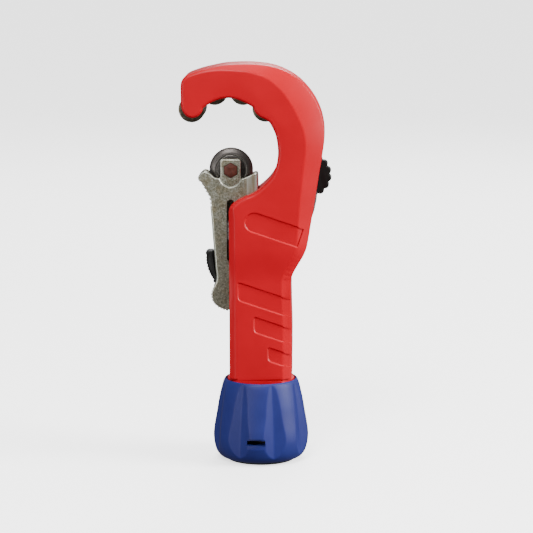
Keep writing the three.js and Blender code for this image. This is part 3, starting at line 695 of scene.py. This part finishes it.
def cutter_steel():
    """Ground steel: a brushed flank, a painted highlight ring on the groove's lip, and a hub and hollow
    darkened with painted shade.
    """
    m = Nodes("cutter_steel")
    away = m.tree.nodes.new("ShaderNodeVectorMath")
    away.operation = "DISTANCE"
    away.inputs[1].default_value = (WHEEL[0] * MM, 0, WHEEL[1] * MM)
    m.link(m.scaled((1, 0, 1)), "Vector", away, 0)
    radius = m.remap(away, "Value", 0.0, 0.01)
    # By radius: painted shade up to 6.2 mm, a painted highlight band from 6.6 to 7.0 mm, then the
    # flank's own grey and a lighter ground edge.
    rings_with_painted_light = m.ramp(radius, "Result", [(0.62, srgb(34, 32, 31)), (0.66, srgb(150, 146, 140)),
                                      (0.70, srgb(150, 146, 140)), (0.73, srgb(74, 70, 68)),
                                      (0.93, srgb(84, 80, 77)), (0.97, srgb(112, 108, 104))])
    grain = m.noise(1400, 4, 0.6)
    tint = m.ramp(grain, "Fac", [(0.32, srgb(52, 49, 47)), (0.68, srgb(100, 96, 92))])
    share = m.grey(grain, "Fac", 0.2, 0.4)
    colour = m.mix(share, "Color", rings_with_painted_light.outputs["Color"], tint.outputs["Color"])
    m.tree.links.new(colour.outputs[2], m.shader.inputs["Base Color"])
    m.link(m.grey(grain, "Fac", 0.36, 0.5), "Color", m.shader, "Roughness")
    m.bump(grain, "Fac", 0.25, 0.00004)
    m.set(Metallic=0.85)
    return m.material


materials = {
    "body_paint": red_paint(),
    "blue_plastic": blue_plastic(),
    "black_plastic": black_plastic(),
    "cast_zinc": cast_zinc(),
    "roller_steel": steel("roller_steel", (66, 61, 49), (100, 94, 79), 0.34, 0.5, (1, 8, 1)),
    "cutter_steel": cutter_steel(),
    # The axle's reddish brown is a painted reflection of the red body in its dark steel.
    "axle_steel": steel("axle_steel", (62, 22, 11), (88, 36, 20), 0.45, 0.62, (1, 1, 1), 900, 0.3),
    "bright_steel": steel("bright_steel", (168, 168, 166), (206, 206, 202), 0.22, 0.36, (1, 1, 6)),
    "brass": steel("brass", (172, 136, 66), (206, 170, 92), 0.25, 0.38, (1, 1, 5)),
}
slot_of = {part["node"]: part["material_slot"] for part in frame["record"]["subparts"]}


def dress(obj, slot):
    obj.data.materials.clear()
    obj.data.materials.append(materials[slot])


def finish_piece(obj, slot, body, *nodes):
    dress(obj, slot)
    if nodes:
        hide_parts(*nodes)
    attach(obj, body)


for name, node in frame["nodes"].items():
    if not node.data.materials:
        node.data.materials.append(None)
    for entry in node.material_slots:
        entry.material = materials[slot_of[name]]


# ---------------------------------------------------------------- rollers and wheel

def make_roller(name, x, z):
    rim, half, bore, edge = ROLLER_RADIUS, ROLLER_HALF, 3.1, 0.7
    profile = [(bore, -half + 0.3), (bore + 0.3, -half), (rim - edge, -half)]
    profile += [(rim - edge + edge * math.sin(a), -half + edge - edge * math.cos(a))
                for a in (0.5, 1.1, math.pi / 2)]
    profile += [(radius, -height) for radius, height in reversed(profile)]
    return along_y(turned(name, profile, 72, closed=True), x, z)


def cutter_profile():
    """The cutting wheel's section: hub, ring groove, cone and knife edge."""
    half = [(4.4, 1.7), (4.6, 1.9), (6.1, 1.9), (6.25, 1.8), (6.35, 1.1), (6.6, 0.95), (6.85, 1.15),
            (6.95, 1.42), (7.15, 1.45), (7.9, 1.2), (9.0, 0.62), (WHEEL_RADIUS - 0.05, 0.12),
            (WHEEL_RADIUS, 0.0)]
    return [(r, -y) for r, y in half] + [(r, y) for r, y in reversed(half[:-1])]


def make_cutting_wheel():
    return along_y(turned("cutter_disc", cutter_profile(), 128, closed=True), *WHEEL)


def make_spare_wheel():
    wheel = turned("spare_cutter_disc", cutter_profile(), 96, closed=True)
    return move(wheel, Matrix.Translation((0, 0, 4.6 * MM)))


# ---------------------------------------------------------------- knob and cap

KNOB_PROFILE = [(15.6, 1.2), (17.0, 1.2), (18.3, 1.7), (19.5, 2.8), (20.5, 4.6), (21.2, 7.2),
                (21.55, 10.2), (21.5, 12.6), (21.15, 15.6), (20.55, 19.0), (19.95, 22.4), (19.3, 26.4),
                (18.65, 29.6), (18.1, 32.0), (17.65, 33.8), (17.3, 35.1), (16.95, 36.1), (16.6, 36.8),
                (16.2, 37.25), (16.0, KNOB_TOP)]


def fluted(radius, height, angle):
    """The knob's radius where V-grooves cut into it. Their roots curve inward towards the top."""
    root = 20.05 - 0.0026 * height * height
    pitch = 2 * math.pi / FLUTES
    nearest = (angle + math.pi / 2 - math.radians(FLUTE_PHASE) + pitch / 2) % pitch - pitch / 2
    aside = math.sqrt(math.sin(nearest) ** 2 + 0.0002)
    flank = math.cos(nearest) - aside / math.tan(math.radians(77.5))
    groove = root / max(flank, 0.2)
    soft = 0.12
    gap = max(soft - abs(radius - groove), 0.0) / soft
    return min(radius, groove) - gap * gap * soft * 0.25


def make_knob():
    spline = catmull(KNOB_PROFILE, 8)
    around, rows = 384, len(spline)
    points, faces = [], []
    for radius, height in spline:
        for i in range(around):
            angle = 2 * math.pi * i / around
            r = fluted(radius, height, angle)
            points.append((r * math.cos(angle), r * math.sin(angle), height))
    inner = [(15.95, KNOB_TOP - 0.08), (15.8, KNOB_TOP - 0.3), (15.8, 34.5), (4.3, 34.5), (4.3, 22),
             (15.1, 22), (15.1, 1.6)]
    for radius, height in inner:
        for i in range(around):
            angle = 2 * math.pi * i / around
            points.append((radius * math.cos(angle), radius * math.sin(angle), height))
    total = rows + len(inner)
    for row in range(total):
        below, above = row * around, ((row + 1) % total) * around
        for i in range(around):
            j = (i + 1) % around
            faces.append((below + i, below + j, above + j, above + i))
    knob = new_object("knob_grip", points, faces)
    turn = Matrix.Rotation(math.radians(WINDOW_TURN), 4, "Z")
    pocket = box("pocket", -6.2, 6.2, -30, -20.7, 8.5, 13.2)
    window = box("window", -4.15, 4.15, -30, -10, 10.1, 12.45)
    carve(knob, move(pocket, turn), move(window, turn))
    tidy(knob)
    return shade(knob, 40)


def make_cap():
    edge = CAP_RADIUS
    cap = turned("cap_disc", [(0, 0), (edge + 0.2, 0), (edge + 0.4, 0.2), (edge + 0.4, 0.95),
                              (edge, 1.05), (edge, 2.4),
                              (13.6, 2.6), (13.6, 5.4), (11.8, 5.4), (11.8, 2.4), (3.6, 2.4),
                              (3.6, 8.3), (3.2, 8.6), (0, 8.6)], 96)
    turn = Matrix.Rotation(math.radians(WINDOW_TURN), 4, "Z")
    tongue = box("tongue", -5.2, 5.2, -14.0, -12.4, 1.2, 13.4)
    ledge = box("ledge", -5.2, 5.2, -14.6, -13.9, 10.5, 11.2)
    fuse(cap, move(tongue, turn), move(ledge, turn))
    tidy(cap)
    return shade(cap, 35)


# ---------------------------------------------------------------- carriage

def carriage_outline():
    """The carriage's outline, each point with the radius of its rim."""
    right = [(-1.3, 130.0, 0.55), (-1.2, 124.7, 0.55), (-1.5, 91.6, 0.55), (-6.6, 85.4, 0.55),
             (-6.8, 69.6, 0.55)]
    tail = [(-6.8, 69.6, 0.5), (-7.6, 68.3, 0.5), (-9.8, 67.9, 0.5), (-13.9, 68.5, 0.7),
            (-16.3, 68.75, 0.9), (-18.1, 69.5, 1.0), (-20.35, 71, 1.1), (-21.55, 72.4, 1.1),
            (-22.3, 74.3, 1.1), (-22.6, 76.1, 1.1), (-22.1, 78.3, 1.1), (-21, 80.5, 1.1),
            (-20.2, 82.3, 1.1), (-19.9, 84.6, 1.1)]
    left = [(-19.9, 84.6, 1.1), (-20.25, 87.3, 1.1), (-20.6, 91.7, 1.1), (-20.95, 96.1, 1.1),
            (-21.3, 100.5, 1.1), (-21.65, 105, 1.1), (-21.95, 109.3, 1.1), (-22.25, 112.8, 1.1),
            (-22.55, 115.9, 1.1), (-22.8, 118.5, 1.1), (-23.25, 120.4, 1.1), (-24.25, 122.15, 1.0),
            (-25.3, 124.25, 0.9), (-26.4, 126.15, 0.8), (-27.5, 127.55, 0.7), (-28.05, 129.05, 0.7),
            (-27.45, 130.3, 0.7), (-26.3, 131.45, 0.7), (-25.2, 132, 0.7), (-24, 131.75, 0.7),
            (-22.3, 130.8, 0.7), (-20.6, 129.25, 0.6), (-17.5, 128.85, 0.5)]
    top = [(-9.4, 128.65, 0.5), (-7.1, 129.15, 0.5), (-4.6, 130.25, 0.5), (-2.9, 131.15, 0.5),
           (-2.0, 131.25, 0.45), (-1.5, 130.8, 0.45), (-1.3, 130.0, 0.55)]
    return right + catmull(tail, 5)[1:] + catmull(left, 5)[1:] + catmull(top, 5)


def tab_outline():
    """The thinner tab over the axle: a flat top with small corners and a round foot."""
    left, right, top, low = -18.1, -8.8, 137.6, 129.0
    foot = [(right, low), (right - 0.55, 127.9), (right - 1.9, 126.3), (-13.4, 125.2),
            (left + 1.9, 126.3), (left + 0.55, 127.9), (left, low)]
    return [(right, top - 0.9), *catmull(foot, 5), (left, top - 0.9), (left + 0.25, top - 0.3),
            (left + 0.9, top), (right - 0.9, top), (right - 0.25, top - 0.3)]


def flared(outline, floor, face, flare):
    """A cutter for a pocket whose rim is chamfered outward to the face."""
    loop = clean_loop(outline)
    count = len(loop)
    depth = face - floor
    section = [(-0.05, floor), (-0.1, floor + 0.3 * depth), (-flare, face), (-flare, face + depth)]
    rings = [[step] * count for step in section]
    if depth < 0:
        rings.reverse()
    return lofted("pocket", loop, rings)


def notches(keys, pitch, size, y0=-9, y1=9):
    """V-shaped notches at even steps along a line, for serrated edges."""
    cutters = []
    curve = catmull(keys, 12)
    travelled = pitch / 2
    for before, here in zip(curve, curve[1:]):
        travelled += math.dist(before, here)
        if travelled >= pitch:
            travelled -= pitch
            cutters.append(rod("notch", *here, y0, y1, size, 4))
    return cutters


def setback(keys, right, up, y0, y1):
    """Trims the edge along a line, so that the serrated front wall stands out from the rest."""
    edge = catmull(keys, 4)
    outside = [(x - 4 * right, z - 4 * up) for x, z in reversed(edge)]
    inside = [(x + right, z + up) for x, z in edge]
    return plate("setback", inside + outside, y0, y1)


def grip_cutters():
    """What leaves the grip teeth standing on the carriage's upper and lower left edges."""
    upper = [(-22.6, 113.8), (-22.75, 115.6), (-23, 118.2), (-23.45, 120.5), (-24.55, 122.25),
             (-25.6, 124.25), (-26.8, 126.15), (-27.75, 127.5)]
    lower = [(-21.1, 80.4), (-22.25, 78.2), (-22.75, 76.1), (-22.45, 74.2), (-21.7, 72.2),
             (-20.45, 70.8), (-18.15, 69.3), (-16.3, 68.6), (-13.9, 68.35)]
    behind = [(x + 0.8, z + 0.3) for x, z in upper[1:]]
    return [setback(upper, 0.75, 0.3, -2.4, 9), setback(lower, 0.5, 0.45, -2.4, 9),
            *notches(upper[1:], 1.85, 1.05, -9, -2.0), *notches(behind, 1.8, 0.72, 1.9, 9),
            *notches(lower, 1.5, 0.95)]


def carriage_rooms():
    """The inner rooms for the wheel, feed bar and lock lever, and the holes in the cheeks."""
    gap = CARRIAGE_GAP_HALF
    x = CARRIAGE_SLOT_X
    slot = arc(x, 117.7, 1.7, 0, 180, 16) + arc(x, 92.7, 1.7, 180, 360, 16)
    hexagon = arc(*WHEEL, 3.6, 90, 450, 6)[:-1]
    return [box("wheel_room", -60, 20, -gap, gap, 120.6, 160),
            box("bar_room", -18.9, 20, -gap, gap, 60, 121),
            box("lock_room", -60, 20, -gap, gap, 60, 96.8),
            plate("slot", slot, -20, 3.9),
            plate("hex", hexagon, -20, -3.1),
            rod("clip_seat", *WHEEL, 3.9, 8, 3.7, 48),
            rod("axle_hole", *WHEEL, -8, 8, 2.8, 32)]


def make_carriage():
    half = CARRIAGE_HALF
    carriage = plate("carriage", carriage_outline(), -half, half, steps=6)
    recess = 0.45  # the tab's face lies this far below the carriage's
    tab = plate("tab", tab_outline(), -half + recess, half - recess, 0.75, 4)
    carve(carriage, rod("pin_hole", *PIVOT, -4.1, 8, 1.1, 24), *grip_cutters())
    moat = recess + 0.35  # the groove round the tab lies deeper than the tab's face
    carve(carriage, flared(tab_outline(), -half + moat, -half, 0.75),
          flared(tab_outline(), half - moat, half, 0.75))
    fuse(carriage, tab)
    carve(carriage, *carriage_rooms())
    tidy(carriage)
    return shade(carriage, 35)


def make_wheel_axle():
    hexagon = arc(*WHEEL, 5.8 / math.sqrt(3), 90, 450, 6)[:-1]
    head = plate("axle_hex", hexagon, -4.75, -3.4, 0.2, 2)
    shank = [(0, -3.6), (2.5, -3.6), (2.5, 4.05), (2.0, 4.1), (2.0, 4.7), (2.5, 4.75), (2.4, 4.95),
             (0, 4.95)]
    fuse(head, along_y(turned("shank", shank, 48), *WHEEL))
    dimple = along_y(turned("dimple", [(0, -4.55), (0.9, -4.8), (0.9, -6), (0, -6)], 24), *WHEEL)
    carve(head, dimple)
    tidy(head)
    return shade(head, 35)


# ---------------------------------------------------------------- lock button

def make_button():
    edge = [(-24.8, 94.3), (-25.0, 92.4), (-24.85, 90.5), (-24.5, 88.5), (-23.9, 86.5), (-23.0, 84.5),
            (-22.0, 82.8), (-21.1, 81.4)]
    crown = [(x, z, 2.8) for x, z in edge[1:-1]]
    crowned = [(-21.7, 95.8, 0.4), (-23.7, 95.75, 0.5), (-24.4, 95.5, 1.0), (-24.85, 95.0, 1.6),
               (*edge[0], 2.0), *crown, (*edge[-1], 0.7), (-20.1, 81.4, 0.3), (-19.7, 82.6, 0.3),
               (-19.8, 84.4, 0.4), (-20.4, 88, 0.4)]
    pad = plate("button_pad", crowned, -4.2, 4.2, 0.4, 6)
    stem = plate("stem", [(-22, 95.7), (-19.8, 95.7), (-19.2, 88), (-19.1, 84), (-20, 82.6)], -1.9, 1.9)
    fuse(pad, stem)
    ribs = [(x - 0.1, z) for x, z in edge]
    carve(pad, *notches(ribs, 1.45, 1.0))
    tidy(pad)
    return shade(pad, 35)


# ---------------------------------------------------------------- deburrer

def make_deburrer_hub():
    x0, z0 = DEBURRER
    root, lobe, phase = 9.15, 1.15, 0.136
    count = LOBES * 16
    outline = []
    for i in range(count):
        angle = 2 * math.pi * i / count
        radius = root + lobe * abs(math.cos(LOBES / 2 * (angle + phase))) ** 0.8
        outline.append((x0 + radius * math.cos(angle), z0 + radius * math.sin(angle)))
    hub = plate("deburrer_wheel", outline, 13.6, 18.4, 0.5, 3)
    dish = along_y(turned("dish", [(0, 17.7), (6.8, 17.7), (7.4, 18.0), (7.8, 19), (0, 19)], 64), x0, z0)
    seat = rod("seat", x0, z0, 17.2, 30, 4.2, 48)
    bore = rod("bore", x0, z0, 0, 30, PIVOT_BORE, 32)
    carve(hub, dish, seat, bore)
    tidy(hub)
    return shade(hub, 35)


def make_deburrer_blade():
    """A spade blade, drawn hanging straight down and then turned to lie along the head."""
    side = [(5.6, -14.8), (5.5, -8.6), (4.4, -5), (3.9, 0), (3.3, 4.6), (1.2, 6.9), (-1, 7.5)]
    tip = [(-5.6, -14.8), (-4.9, -19.5), (-3.0, -24), (0, -27.5)]
    other = [(0, -27.5), (3.0, -24), (4.9, -19.5), (5.6, -14.8)]
    outline = catmull(side, 4) + arc(0, 0, 7.57, 97.6, 222, 24) + [(-4.8, -7.6)]
    outline += catmull(tip, 5) + catmull(other, 5)
    blade = plate("deburrer_spade", placed(outline, *DEBURRER, -11.2), 11.8, 13.3, 0.25, 2)
    carve(blade, rod("bore", *DEBURRER, 0, 30, PIVOT_BORE, 32))
    tidy(blade)
    return shade(blade, 35)


def make_deburrer_screw():
    profile = [(0, 5.3), (2, 5.3), (2, 17.5), (3.6, 17.5), (3.8, 17.7), (3.8, 18.9), (3.4, 19.4),
               (2.6, 19.6), (0, 19.6)]
    screw = along_y(turned("pivot_screw", profile, 48), *DEBURRER)
    star = arc(*DEBURRER, 1.7, 90, 450, 6)[:-1]
    carve(screw, plate("socket", star, 18.3, 25))
    tidy(screw)
    return shade(screw, 35)


# ---------------------------------------------------------------- assembly

finish_piece(make_body(), "body_paint", "body", "body_frame")
for index, (x, z) in enumerate(roller_centres(), 1):
    piece = shade(make_roller(f"roller_shell_{index}", x, z), 35)
    finish_piece(piece, "roller_steel", f"roller_{index}", f"guide_roller_{index}")
finish_piece(shade(make_cutting_wheel(), 40), "cutter_steel", "cutter", "cutting_wheel")
finish_piece(shade(make_spare_wheel(), 40), "cutter_steel", "base", "spare_cutting_wheel")
finish_piece(make_knob(), "blue_plastic", "knob", "feed_knob")
finish_piece(make_cap(), "black_plastic", "base", "base_cap")
finish_piece(make_carriage(), "cast_zinc", "slider", "slider_carriage")
finish_piece(make_wheel_axle(), "axle_steel", "slider", "wheel_axle")
finish_piece(make_button(), "black_plastic", "lock", "lock_button")
finish_piece(make_deburrer_hub(), "black_plastic", "deburrer", "deburrer_hub")
finish_piece(make_deburrer_blade(), "bright_steel", "deburrer", "deburrer_blade")
finish_piece(make_deburrer_screw(), "bright_steel", "body", "deburrer_pivot_screw")


# ---------------------------------------------------------------- floor, lights and camera

def make_floor():
    size = 6000
    floor = new_object("floor", [(-size, -size, -0.02), (size, -size, -0.02), (size, size, -0.02),
                                 (-size, size, -0.02)], [(0, 1, 2, 3)])
    m = Nodes("floor_white")
    m.set(Base_Color=(0.92, 0.92, 0.92, 1), Roughness=0.9, Emission_Color=(1, 1, 1, 1),
          Emission_Strength=1.7)
    floor.data.materials.append(m.material)
    # The floor lights nothing, as if black flags round the object kept its light off.
    floor.visible_diffuse = False
    floor.visible_glossy = False


def add_light(name, place, target, size, power):
    data = bpy.data.lights.new(name, "AREA")
    data.shape = "RECTANGLE"
    data.size, data.size_y = size
    data.energy = power
    light = bpy.data.objects.new(name, data)
    bpy.context.scene.collection.objects.link(light)
    light.location = place
    light.rotation_euler = (Vector(target) - Vector(place)).to_track_quat("-Z", "Y").to_euler()


def add_sun(name, place, power, spread):
    data = bpy.data.lights.new(name, "SUN")
    data.energy = power
    data.angle = math.radians(spread)
    light = bpy.data.objects.new(name, data)
    bpy.context.scene.collection.objects.link(light)
    light.rotation_euler = Vector(place).to_track_quat("Z", "Y").to_euler()


def add_camera():
    azimuth, elevation, distance = math.radians(2.5), math.radians(9.5), 1.047
    target = Vector((0.002509, 0, 0.088325))
    back = Vector((math.sin(azimuth) * math.cos(elevation), -math.cos(azimuth) * math.cos(elevation),
                   math.sin(elevation)))
    data = bpy.data.cameras.new("camera")
    data.lens = 156.6
    data.sensor_width = 36
    data.clip_start = 0.05
    camera = bpy.data.objects.new("camera", data)
    bpy.context.scene.collection.objects.link(camera)
    camera.location = target + back * distance
    camera.rotation_euler = (-back).to_track_quat("-Z", "Y").to_euler()
    bpy.context.scene.camera = camera


def add_world():
    """A pale backdrop for the camera, and a dim even light for the object."""
    world = bpy.data.worlds.new("studio")
    bpy.context.scene.world = world
    world.use_nodes = True
    tree = world.node_tree
    dim = tree.nodes["Background"]
    dim.inputs["Color"].default_value = (1, 1, 1, 1)
    dim.inputs["Strength"].default_value = 0.24
    pale = tree.nodes.new("ShaderNodeBackground")
    pale.inputs["Color"].default_value = (1, 1, 1, 1)
    pale.inputs["Strength"].default_value = 3.2
    rays = tree.nodes.new("ShaderNodeLightPath")
    mix = tree.nodes.new("ShaderNodeMixShader")
    tree.links.new(rays.outputs["Is Camera Ray"], mix.inputs["Fac"])
    tree.links.new(dim.outputs["Background"], mix.inputs[1])
    tree.links.new(pale.outputs["Background"], mix.inputs[2])
    tree.links.new(mix.outputs["Shader"], tree.nodes["World Output"].inputs["Surface"])


make_floor()
middle = (0, 0, 0.09)
add_sun("overhead", (0.1, 0.05, 1.0), 2.6, 50)
add_light("key", (1.0, -0.2, 0.5), middle, (0.5, 0.8), 29)
add_light("front", (-0.2, -0.8, 0.95), middle, (0.35, 0.35), 14)
add_light("fill", (-0.8, -0.9, 0.05), middle, (0.4, 0.6), 9)
add_light("rear", (0.1, 1.0, 0.8), middle, (0.5, 0.5), 9)
add_camera()
add_world()
